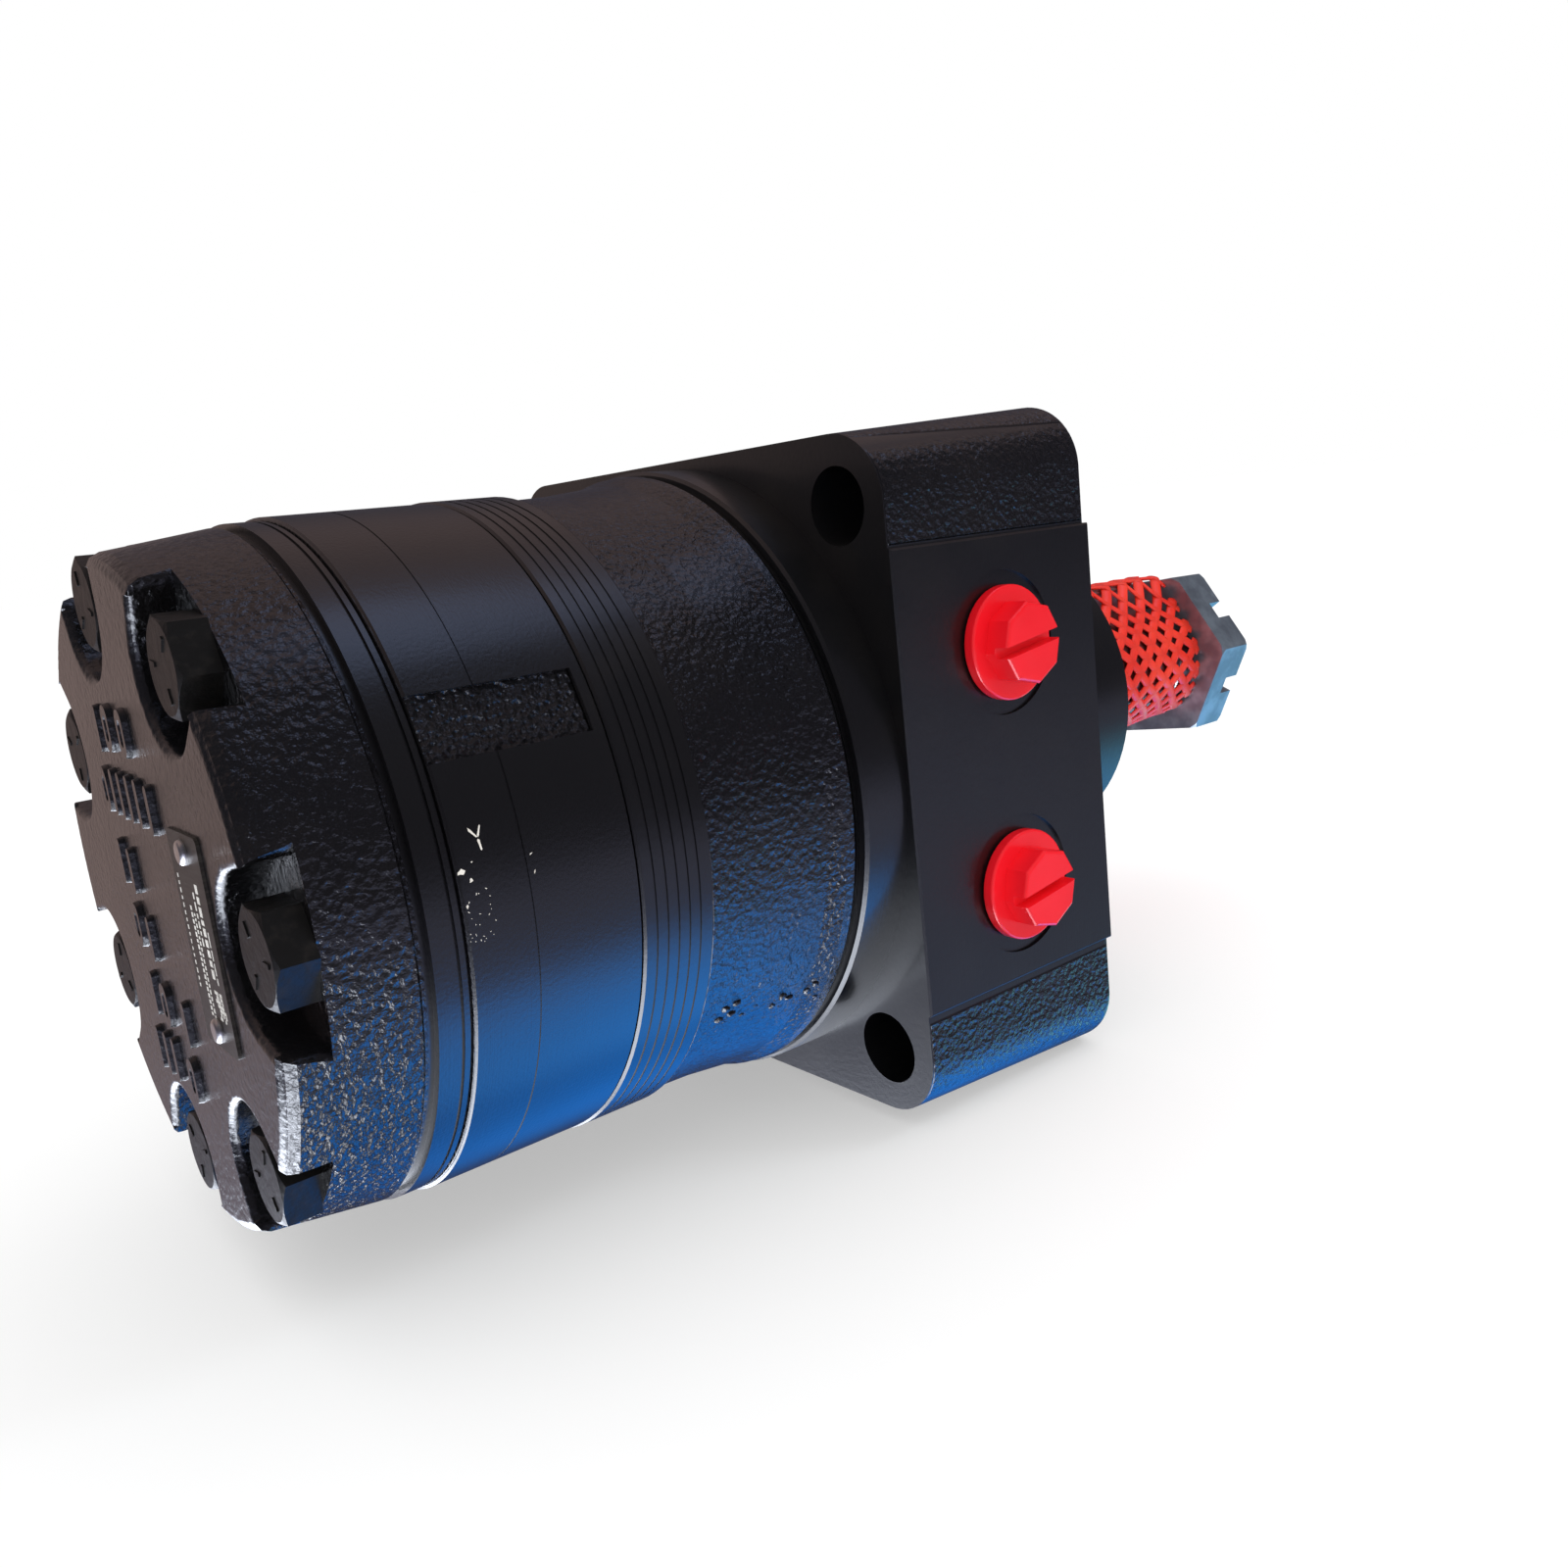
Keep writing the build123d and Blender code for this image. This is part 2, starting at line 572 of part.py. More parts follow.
def link_station(distance):
    """Cross-section plane of the drive link at a distance along its tilted axis."""
    return Plane(origin=link_origin + link_way * distance, x_dir=link_across, z_dir=link_way)


with BuildPart() as drive_link:
    tooth = tooth_outline(LINK_ROOT_R - 1.0, 2.2, LINK_TIP_R, 1.2)
    for centre in (0.0, link_length):
        with BuildSketch(link_station(centre - CROWN_HALF)):
            Circle(LINK_ROOT_R)
            with PolarLocations(0, TOOTH_COUNT):
                Polygon(*tooth, align=None)
        extrude(amount=2 * CROWN_HALF)
    # the tips are crowned lengthwise so that the link can tilt in its splines
    with BuildSketch(Plane(origin=link_origin, x_dir=link_way, z_dir=(0, 0, -1))):
        with BuildLine():
            Polyline((link_length - CROWN_HALF, 14.4), (CROWN_HALF, 14.4))
            ThreePointArc((CROWN_HALF, 14.4), (0, LINK_TIP_R), (-CROWN_HALF, 14.4))
            Polyline((-CROWN_HALF, 14.4), (-CROWN_HALF, 0), (link_length + CROWN_HALF, 0))
            Line((link_length + CROWN_HALF, 0), (link_length + CROWN_HALF, 14.4))
            ThreePointArc(
                (link_length + CROWN_HALF, 14.4),
                (link_length, LINK_TIP_R),
                (link_length - CROWN_HALF, 14.4),
            )
        make_face()
    revolve(axis=Axis(link_origin, link_way), mode=Mode.INTERSECT)
    with Locations(link_station(0)):
        Cylinder(10.5, link_length, align=FROM_START)
        Cylinder(4.2, ball_reach, align=FROM_START)
    with Locations(link_station(ball_reach)):
        Sphere(BALL_R)
save(drive_link, "drive_link")

# ================================================================ output shaft
with BuildPart() as output_shaft:
    with BuildSketch(Plane.XY):
        with BuildLine():
            Polyline(
                (-48.0, 17.5),
                (-48.0, 31.5),
                (-47.5, 32.0),
                (-40.0, 32.0),
                (-40.0, REAR_JOURNAL_R),
                (-9.0, REAR_JOURNAL_R),
                (-8.0, 22.5),
                (55.0, 22.5),
                (56.0, FRONT_JOURNAL_R),
                (80.0, FRONT_JOURNAL_R),
                (80.5, SEAL_JOURNAL_R),
                (BOSS_END, SEAL_JOURNAL_R),
                (BOSS_END + 1.0, TAPER_LARGE_R),
                (TAPER_START, TAPER_LARGE_R),
                (TAPER_END, taper_radius(TAPER_END)),
                (TAPER_END, 13.2),
                (TAPER_END + 3.0, 13.2),
                (TAPER_END + 4.0, THREAD_R),
                (SHAFT_END - 1.0, THREAD_R),
                (SHAFT_END, THREAD_R - 1.0),
                (SHAFT_END, 2.2),
                (SHAFT_END - 3.5, 0),
                (33.0, 0),
                (27.0, 11.0),
                (19.5, 11.0),
                (19.5, 16.6),
                (16.0, 16.6),
                (16.0, SPLINE_MINOR_R),
                (-6.0, SPLINE_MINOR_R),
                (-6.0, 17.5),
                close=True,
            )
        make_face()
    revolve(axis=Axis.X)
    with BuildSketch(station(-6.0)):
        with PolarLocations(0, TOOTH_COUNT):
            Polygon(*tooth_outline(SPLINE_MINOR_R - 1.0, 2.7, SPLINE_MAJOR_R, 1.8), align=None)
    extrude(amount=22.0, mode=Mode.SUBTRACT)
    # keyway and the cross hole for a split pin
    with BuildSketch(Plane.XY.offset(KEY_BOTTOM)):
        with Locations(((KEY_START + KEY_END) / 2, 0)):
            SlotOverall(KEY_END - KEY_START, KEY_WIDTH)
    extrude(amount=10.0, mode=Mode.SUBTRACT)
    with Locations(Location((SHAFT_END - 2.6, 0, 0), (0, 0, 0))):
        Cylinder(1.6, 60.0, rotation=(NUT_TURN, 0, 0), mode=Mode.SUBTRACT)
save(output_shaft, "output_shaft")

with BuildPart() as shaft_key:
    with BuildSketch(Plane.XY.offset(KEY_BOTTOM)):
        with Locations(((KEY_START + KEY_END) / 2, 0)):
            SlotOverall(KEY_END - KEY_START, KEY_WIDTH)
    extrude(amount=KEY_TOP - KEY_BOTTOM)
    chamfer(shaft_key.edges().group_by(Axis.Z)[-1], length=0.5)
save(shaft_key, "shaft_key")

# ================================================================ slotted nut
SLOT_DEPTH = 5.2
SLOT_WIDTH = 5.0
with BuildPart() as shaft_nut:
    disc(NUT_START, SHAFT_END, NUT_AF / sqrt(3))
    chamfer(shaft_nut.edges().filter_by(GeomType.CIRCLE), length=0.8, length2=0.8)
    with BuildSketch(station(NUT_START)):
        RegularPolygon(NUT_AF / 2, 6, major_radius=False, rotation=NUT_TURN)
    extrude(amount=SHAFT_END - NUT_START, mode=Mode.INTERSECT)
    disc(NUT_START, SHAFT_END, THREAD_R + 0.02, mode=Mode.SUBTRACT)
    chamfer(shaft_nut.edges().filter_by(GeomType.CIRCLE).sort_by(SortBy.RADIUS)[:2], length=0.7)
    with BuildSketch(station(SHAFT_END - SLOT_DEPTH)):
        with PolarLocations(0, 3, start_angle=NUT_TURN + 30, angular_range=180):
            Rectangle(60.0, SLOT_WIDTH)
    extrude(amount=SLOT_DEPTH, mode=Mode.SUBTRACT)
save(shaft_nut, "shaft_nut")

# ================================================================ net sleeve
# tube of constant wall drawn over the taper and the key; open at both ends
NET_START = BOSS_END + 1.2
NET_END = NUT_START - 0.2


def sleeve_outline(x, grow):
    """Outline of the stretched net at one station, grown outward by a distance."""
    radius = taper_radius(min(x, TAPER_END)) + grow
    with BuildSketch(station(x)) as outline:
        with BuildLine():
            CenterArc((0, 0), radius, 0, 360)
            Line((-KEY_WIDTH / 2, KEY_TOP + grow), (KEY_WIDTH / 2, KEY_TOP + grow))
        make_hull()
    return outline.sketch


with BuildPart() as shaft_net:
    loft([sleeve_outline(NET_START, 1.6), sleeve_outline(NET_END, 1.6)])
    loft([sleeve_outline(NET_START, 0.4), sleeve_outline(NET_END, 0.4)], mode=Mode.SUBTRACT)
save(shaft_net, "shaft_net")

# ================================================================ bearings and washers
rear_circle_r = REAR_JOURNAL_R + RUNNING_GAP + REAR_ROLLER_R
rear_track_r = rear_circle_r + REAR_ROLLER_R + RUNNING_GAP
with BuildPart() as rear_bearing_race:
    ring(-33.5, -11.5, rear_track_r, REAR_BORE_R)
save(rear_bearing_race, "rear_bearing_race")
with BuildPart() as rear_bearing_rollers:
    roller_circle(REAR_ROLLER_COUNT, rear_circle_r, REAR_ROLLER_R, -32.5, -12.5)
save(rear_bearing_rollers, "rear_bearing_rollers")

front_circle_r = FRONT_JOURNAL_R + RUNNING_GAP + FRONT_ROLLER_R
front_track_r = front_circle_r + FRONT_ROLLER_R + RUNNING_GAP
with BuildPart() as front_bearing_race:
    ring(57.0, 79.0, front_track_r, front_track_r + RACE_WALL)
save(front_bearing_race, "front_bearing_race")
with BuildPart() as front_bearing_rollers:
    roller_circle(FRONT_ROLLER_COUNT, front_circle_r, FRONT_ROLLER_R, 58.5, 77.5)
save(front_bearing_rollers, "front_bearing_rollers")

THRUST_X = -38.0
THRUST_ROLLER_R = 1.95
with BuildPart() as thrust_rollers:
    with Locations(station(THRUST_X)):
        with PolarLocations(28.2, 24):
            Cylinder(THRUST_ROLLER_R, 6.2, rotation=(0, 90, 0))
save(thrust_rollers, "thrust_rollers")
with BuildPart() as front_thrust_washer:
    ring(-36.0, -33.5, 25.0, REAR_BORE_R - 0.1)
save(front_thrust_washer, "front_thrust_washer")
with BuildPart() as rear_thrust_washer:
    ring(WEAR_PLATE_END, -48.3, 20.0, REAR_BORE_R - 0.1)
save(rear_thrust_washer, "rear_thrust_washer")

# ================================================================ shaft seals
lip_r = SEAL_JOURNAL_R + RUNNING_GAP
with BuildPart() as shaft_seal:
    with BuildSketch(Plane.XY):
        with BuildLine():
            Polyline(
                (81.0, 28.0),
                (88.5, 28.0),
                (88.5, 21.6),
                (86.6, 21.6),
                (85.4, lip_r),
                (84.2, lip_r),
                (82.6, 22.4),
                (83.4, 23.6),
                (86.0, 24.2),
                (86.0, 25.6),
                (81.0, 25.6),
                close=True,
            )
        make_face()
    revolve(axis=Axis.X)
save(shaft_seal, "shaft_seal")
with BuildPart() as seal_backup_washer:
    ring(88.5, 90.0, 21.0, 28.0)
save(seal_backup_washer, "seal_backup_washer")
with BuildPart() as wiper_seal:
    with BuildSketch(Plane.XY):
        with BuildLine():
            Polyline(
                (95.0, 26.5),
                (101.4, 26.5),
                (101.4, 23.6),
                (99.2, 22.8),
                (101.2, lip_r),
                (100.2, lip_r),
                (97.4, 21.8),
                (95.0, 21.8),
                close=True,
            )
        make_face()
    revolve(axis=Axis.X)
save(wiper_seal, "wiper_seal")

# ================================================================ joint seals
ring_inner, ring_outer = RING_GROOVE[0] + 0.1, RING_GROOVE[1] - 0.1
joint_grooves = {
    "cover_seal_ring": COVER_JOINT - GROOVE_DEPTH,
    "manifold_seal_ring": MANIFOLD_JOINT,
    "housing_seal_ring": STATOR_JOINT,
}
for ring_name, groove_x in joint_grooves.items():
    with BuildPart() as joint_ring:
        ring(groove_x, groove_x + GROOVE_DEPTH, ring_inner, ring_outer)
        fillet(joint_ring.edges().filter_by(GeomType.CIRCLE), radius=0.4)
    save(joint_ring, ring_name)

with BuildPart() as passage_seals:
    for groove_x in joint_grooves.values():
        with BuildSketch(station(groove_x)):
            with PolarLocations(BOLT_CIRCLE_R, 1, start_angle=PASSAGE_ANGLE):
                Circle(5.2)
                Circle(3.6, mode=Mode.SUBTRACT)
        extrude(amount=GROOVE_DEPTH)
save(passage_seals, "passage_seals")

# ================================================================ shipping plugs
PLUG_SEAT = -half + SPOTFACE_DEPTH - 0.3
COLLAR_R = 10.9
COLLAR_HEIGHT = 2.5
HEAD_END = -72.5
PLUG_TURN = 8.0
for plug_name, plug_z in (("upper_port_plug", PORT_Z), ("lower_port_plug", -PORT_Z)):
    seat = Plane(origin=(PORT_X, PLUG_SEAT, plug_z), x_dir=(1, 0, 0), z_dir=(0, -1, 0))
    head_height = PLUG_SEAT - HEAD_END
    with BuildPart() as port_plug:
        with Locations(seat):
            Cylinder(COLLAR_R, COLLAR_HEIGHT, align=FROM_START)
        fillet(port_plug.edges().filter_by(GeomType.CIRCLE), radius=0.5)
        with Locations(seat):
            Cylinder(9.2, 12.0, align=(Align.CENTER, Align.CENTER, Align.MAX))
        with BuildSketch(seat):
            RegularPolygon(7.9, 8, rotation=PLUG_TURN)
        extrude(amount=head_height)
        head_rim = port_plug.edges().group_by(Axis.Y)[0]
        fillet(head_rim, radius=0.7)
        # screwdriver slot across the head, hollow from the inner end
        with BuildSketch(seat.offset(head_height - 3.0)):
            Rectangle(20.0, 2.1, rotation=PLUG_TURN)
        extrude(amount=3.0, mode=Mode.SUBTRACT)
        with Locations(seat.offset(-12.0)):
            Cylinder(6.6, 13.0, align=FROM_START, mode=Mode.SUBTRACT)
    save(port_plug, plug_name)
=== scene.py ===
"""Looks of the orbital hydraulic motor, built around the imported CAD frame. Metres, +X along the shaft."""

import json
import math
import random

import bpy
from mathutils import Matrix, Quaternion, Vector


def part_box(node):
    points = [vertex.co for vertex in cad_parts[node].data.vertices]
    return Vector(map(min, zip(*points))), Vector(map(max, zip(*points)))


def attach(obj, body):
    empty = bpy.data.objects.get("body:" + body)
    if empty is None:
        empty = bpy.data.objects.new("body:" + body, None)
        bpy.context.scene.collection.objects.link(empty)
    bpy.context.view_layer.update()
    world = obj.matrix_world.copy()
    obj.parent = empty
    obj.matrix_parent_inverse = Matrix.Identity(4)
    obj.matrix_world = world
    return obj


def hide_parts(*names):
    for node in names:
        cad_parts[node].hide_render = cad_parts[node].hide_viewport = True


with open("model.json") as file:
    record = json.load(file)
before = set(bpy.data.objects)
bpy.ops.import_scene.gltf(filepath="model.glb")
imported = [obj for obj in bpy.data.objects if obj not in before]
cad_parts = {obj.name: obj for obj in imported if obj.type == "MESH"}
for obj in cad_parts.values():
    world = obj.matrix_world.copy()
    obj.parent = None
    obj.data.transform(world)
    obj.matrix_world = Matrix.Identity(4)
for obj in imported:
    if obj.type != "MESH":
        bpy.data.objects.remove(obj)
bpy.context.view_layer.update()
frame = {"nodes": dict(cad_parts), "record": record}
nodes = frame["nodes"]
scene = bpy.context.scene
MM = 0.001

# ------------------------------------------------------------------ node graph helpers


class Graph:
    """Short way to write a material's or the world's nodes."""

    def __init__(self, owner):
        owner.use_nodes = True
        self.tree = owner.node_tree
        self.tree.nodes.clear()

    def node(self, kind, inputs=None, **settings):
        made = self.tree.nodes.new(kind)
        for key, value in settings.items():
            setattr(made, key, value)
        for key, value in (inputs or {}).items():
            self.plug(value, made.inputs[key])
        return made

    def plug(self, value, socket):
        if isinstance(value, bpy.types.NodeSocket):
            self.tree.links.new(value, socket)
        else:
            socket.default_value = value

    def math(self, operation, a, b=0.0, c=0.0, clamp=False):
        made = self.node("ShaderNodeMath", {0: a, 1: b, 2: c}, operation=operation)
        made.use_clamp = clamp
        return made.outputs[0]

    def mix(self, factor, a, b):
        made = self.node("ShaderNodeMix", data_type="RGBA", clamp_factor=True)
        self.plug(factor, made.inputs[0])
        self.plug(a, made.inputs[6])
        self.plug(b, made.inputs[7])
        return made.outputs[2]

    def step(self, value, low, high):
        """0 below low, 1 above high, smooth between; high below low turns it round."""
        made = self.node("ShaderNodeMapRange", {0: value}, interpolation_type="SMOOTHSTEP")
        if low < high:
            made.inputs[1].default_value = low
            made.inputs[2].default_value = high
        else:
            made.inputs[1].default_value = high
            made.inputs[2].default_value = low
            made.inputs[3].default_value = 1.0
            made.inputs[4].default_value = 0.0
        return made.outputs[0]

    def edge(self, value, place, soft):
        """1 past a place, 0 before it, smooth for soft to each side; a negative soft turns it round."""
        return self.step(value, place - soft, place + soft)

    def band(self, value, low, high, soft):
        """1 between two values, 0 outside."""
        rise = self.step(value, low - soft, low + soft)
        fall = self.step(value, high + soft, high - soft)
        return self.math("MULTIPLY", rise, fall)

    def noise(self, where, scale, detail=3.0, roughness=0.55, distortion=0.0):
        inputs = {"Vector": where, "Scale": scale, "Detail": detail, "Roughness": roughness}
        inputs["Distortion"] = distortion
        return self.node("ShaderNodeTexNoise", inputs).outputs["Fac"]

    def pebbles(self, where, scale, smooth=0.6):
        made = self.node(
            "ShaderNodeTexVoronoi",
            {"Vector": where, "Scale": scale, "Smoothness": smooth},
            feature="SMOOTH_F1",
        )
        return made.outputs["Distance"]


class Surface(Graph):
    """A material with one Principled shader and the object's own coordinates at hand, in metres."""

    def __init__(self, name):
        self.material = bpy.data.materials.new(name)
        super().__init__(self.material)
        self.shader = self.node("ShaderNodeBsdfPrincipled")
        out = self.node("ShaderNodeOutputMaterial")
        self.tree.links.new(self.shader.outputs[0], out.inputs[0])
        self.where = self.node("ShaderNodeTexCoord").outputs["Object"]
        split = self.node("ShaderNodeSeparateXYZ", {0: self.where})
        self.x, self.y, self.z = split.outputs

    def set(self, **values):
        for key, value in values.items():
            self.plug(value, self.shader.inputs[key.replace("_", " ")])

    def radius(self):
        """Distance from the shaft axis."""
        y_squared = self.math("MULTIPLY", self.y, self.y)
        z_squared = self.math("MULTIPLY", self.z, self.z)
        return self.math("SQRT", self.math("ADD", y_squared, z_squared))

    def bump(self, height, distance, strength=1.0, under=None):
        made = self.node("ShaderNodeBump", {"Height": height, "Distance": distance, "Strength": strength})
        if under is not None:
            self.plug(under, made.inputs["Normal"])
        return made.outputs[0]


# ------------------------------------------------------------------ materials

BLACK = (0.0035, 0.0034, 0.0042, 1)
BLACK_WARM = (0.0065, 0.0055, 0.0055, 1)

# where rough casting meets machined surface
TURNED_BAND_FRONT = -42.4 * MM
BEAD_FRONT = -11.4 * MM
FLANGE_FRONT = 55.0 * MM
PAD_HALF_HEIGHT = 44.6 * MM
CAST_TOP = 63.9 * MM
CAST_BACK = 64.3 * MM
CAST_PORT_SIDE = -61.5 * MM
COVER_FACE = -112.25 * MM
COVER_POCKET_RADIUS = 56.75 * MM
STRIP_RADIUS = 60.25 * MM
STRIP_REAR = -85.7 * MM
STRIP_FRONT = -58.5 * MM


def turned_lines(s, pitch_scale):
    """Fine irregular lines round the axis: noise that changes along X only."""
    along = s.node("ShaderNodeCombineXYZ", {0: s.x, 1: 0.0, 2: 0.0}).outputs[0]
    return s.noise(along, pitch_scale, detail=2.0, roughness=0.6)


def orange_peel(s, scale):
    """Small even waviness of sprayed enamel."""
    return s.noise(s.where, scale, detail=2.0, roughness=0.5)


def cast_paint(name, smooth_mask, grain, depth):
    """Black enamel over rough casting. smooth_mask gives 1 where the face is machined, 0 where it is cast."""
    s = Surface(name)
    smooth = smooth_mask(s)
    rough = s.math("SUBTRACT", 1.0, smooth)
    lumps = s.pebbles(s.where, grain, smooth=0.55)
    swirl = s.noise(s.where, grain * 0.5, detail=3.0, roughness=0.55, distortion=0.8)
    fine = s.noise(s.where, grain * 2.2, detail=2.0, roughness=0.5)
    patches = s.math("MULTIPLY_ADD", s.noise(s.where, 70.0, detail=2.0), 0.9, 0.5)
    cast = s.math("ADD", s.math("MULTIPLY", lumps, 0.8), s.math("MULTIPLY", swirl, 0.9))
    cast = s.math("ADD", cast, s.math("MULTIPLY", fine, 0.55))
    cast = s.math("MULTIPLY", cast, patches)
    under = s.bump(s.math("MULTIPLY", cast, rough), depth)
    lines = s.math("MULTIPLY", turned_lines(s, 2300.0), smooth)
    under = s.bump(lines, 0.00003, under=under)
    peel = s.bump(orange_peel(s, 900.0), 0.00003, under=under)
    wear = s.noise(s.where, 38.0, detail=4.0, roughness=0.6)
    s.set(
        Base_Color=s.mix(s.step(wear, 0.45, 0.75), BLACK, BLACK_WARM),
        Roughness=s.math("ADD", s.math("MULTIPLY", smooth, 0.12), s.math("MULTIPLY_ADD", wear, 0.12, 0.13)),
        Specular_IOR_Level=0.6,
        Coat_Weight=0.3,
        Coat_Roughness=0.12,
        Normal=peel,
    )
    return s.material


def housing_smooth(s):
    """Machined faces of the housing: turned band, flange rear, port pad, front and boss."""
    height = s.math("ABSOLUTE", s.z)
    band_zone = s.edge(s.x, TURNED_BAND_FRONT, -0.4 * MM)
    ahead_of_bead = s.edge(s.x, BEAD_FRONT, 0.4 * MM)
    beside = s.edge(s.y, CAST_BACK, 0.3 * MM)
    above = s.edge(height, PAD_HALF_HEIGHT, 0.3 * MM)
    outside_pad = s.math("MAXIMUM", beside, above)
    rim = s.math("MAXIMUM", s.edge(height, CAST_TOP, 0.3 * MM), beside)
    port_side = s.math("MULTIPLY", s.edge(s.y, CAST_PORT_SIDE, -1.5 * MM), above)
    rim = s.math("MAXIMUM", rim, port_side)
    on_flange = s.band(s.x, 0.4 * MM, FLANGE_FRONT - 0.4 * MM, 0.2 * MM)
    cast_flange = s.math("MULTIPLY", s.math("MULTIPLY", rim, outside_pad), on_flange)
    return s.math("MAXIMUM", band_zone, s.math("SUBTRACT", ahead_of_bead, cast_flange), clamp=True)


def cover_smooth(s):
    """The cover's face and pockets are fairly smooth, its side is rough."""
    face = s.math("MULTIPLY", s.edge(s.x, COVER_FACE, -0.35 * MM), 0.6)
    inner = s.math("MULTIPLY", s.edge(s.radius(), COVER_POCKET_RADIUS, -0.75 * MM), 0.5)
    return s.math("MAXIMUM", face, inner)


def turned_paint(name):
    """Black enamel over fine turned steel, with the rough sunk strip on the port side."""
    s = Surface(name)
    strip = s.edge(s.radius(), STRIP_RADIUS, -0.15 * MM)
    strip = s.math("MULTIPLY", strip, s.band(s.x, STRIP_REAR, STRIP_FRONT, 0.2 * MM))
    grain = s.math("ADD", s.pebbles(s.where, 900.0), s.noise(s.where, 620.0, detail=3.0))
    under = s.bump(s.math("MULTIPLY", grain, strip), 0.0013)
    under = s.bump(turned_lines(s, 2600.0), 0.000025, under=under)
    peel = s.bump(orange_peel(s, 1500.0), 0.00004, under=under)
    wear = s.noise(s.where, 30.0, detail=4.0, roughness=0.65)
    s.set(
        Base_Color=s.mix(s.step(wear, 0.5, 0.8), BLACK, BLACK_WARM),
        Roughness=s.math("MULTIPLY_ADD", wear, 0.14, 0.24),
        Specular_IOR_Level=0.6,
        Coat_Weight=0.25,
        Coat_Roughness=0.15,
        Normal=peel,
    )
    return s.material


def bolt_paint(name):
    """Satin black paint on forged bolt heads."""
    s = Surface(name)
    forged = s.noise(s.where, 420.0, detail=3.0)
    under = s.bump(forged, 0.00018)
    peel = s.bump(orange_peel(s, 1600.0), 0.00003, under=under)
    s.set(
        Base_Color=s.mix(s.step(forged, 0.5, 0.75), (0.007, 0.0065, 0.0065, 1), (0.013, 0.011, 0.010, 1)),
        Roughness=s.math("MULTIPLY_ADD", forged, 0.2, 0.3),
        Specular_IOR_Level=0.2,
        Normal=peel,
    )
    return s.material


def plate_finish(name):
    """Dark anodised nameplate with faint brushing."""
    s = Surface(name)
    stretched = s.node("ShaderNodeMapping", {"Vector": s.where, "Scale": (1, 1, 12)}).outputs[0]
    brushed = s.noise(stretched, 260.0, detail=3.0)
    s.set(
        Base_Color=s.mix(s.step(brushed, 0.35, 0.7), (0.028, 0.024, 0.021, 1), (0.06, 0.052, 0.045, 1)),
        Metallic=0.5,
        Roughness=s.math("MULTIPLY_ADD", brushed, 0.15, 0.34),
        Normal=s.bump(brushed, 0.00003),
    )
    return s.material


def metal(name, colour, dark, rough, scale=300.0, depth=0.00004, metallic=1.0):
    """Bare or plated metal with slight colour and gloss variation."""
    s = Surface(name)
    mottled = s.noise(s.where, scale, detail=4.0, roughness=0.6)
    broad = s.noise(s.where, scale * 0.15, detail=2.0)
    blend = s.math("MULTIPLY_ADD", broad, 0.5, s.math("MULTIPLY", mottled, 0.5))
    s.set(
        Base_Color=s.mix(s.step(blend, 0.3, 0.7), (*dark, 1), (*colour, 1)),
        Metallic=metallic,
        Roughness=s.math("MULTIPLY_ADD", mottled, 0.18, rough),
        Normal=s.bump(mottled, depth),
    )
    return s.material


def zinc(name):
    """Bright blue-white zinc plating with soft clouding and fine machining marks."""
    s = Surface(name)
    cloud = s.noise(s.where, 160.0, detail=3.0)
    lines = turned_lines(s, 3200.0)
    s.set(
        Base_Color=s.mix(s.step(cloud, 0.35, 0.7), (0.20, 0.23, 0.28, 1), (0.33, 0.39, 0.46, 1)),
        Metallic=0.75,
        Roughness=s.math("MULTIPLY_ADD", cloud, 0.14, 0.26),
        Normal=s.bump(lines, 0.00003, under=s.bump(cloud, 0.00006)),
    )
    return s.material


def plastic(name, colour, deep, rough, sub, scale=350.0, depth=0.00005):
    """Moulded plastic with soft clouding of its colour."""
    s = Surface(name)
    cloud = s.noise(s.where, scale * 0.2, detail=2.0)
    skin = s.noise(s.where, scale, detail=3.0)
    s.set(
        Base_Color=s.mix(s.step(cloud, 0.3, 0.75), (*deep, 1), (*colour, 1)),
        Roughness=s.math("MULTIPLY_ADD", skin, 0.16, rough),
        Specular_IOR_Level=0.5,
        Subsurface_Weight=sub,
        Subsurface_Radius=(0.0020, 0.0005, 0.0004),
        Subsurface_Scale=1.0,
        Normal=s.bump(skin, depth),
    )
    return s.material


def rubber(name, colour):
    """Matt seal material with fine grain."""
    s = Surface(name)
    grain = s.noise(s.where, 1800.0, detail=3.0)
    s.set(
        Base_Color=s.mix(grain, (*colour, 1), (*[c * 1.8 for c in colour], 1)),
        Roughness=s.math("MULTIPLY_ADD", grain, 0.2, 0.5),
        Normal=s.bump(grain, 0.00005),
    )
    return s.material


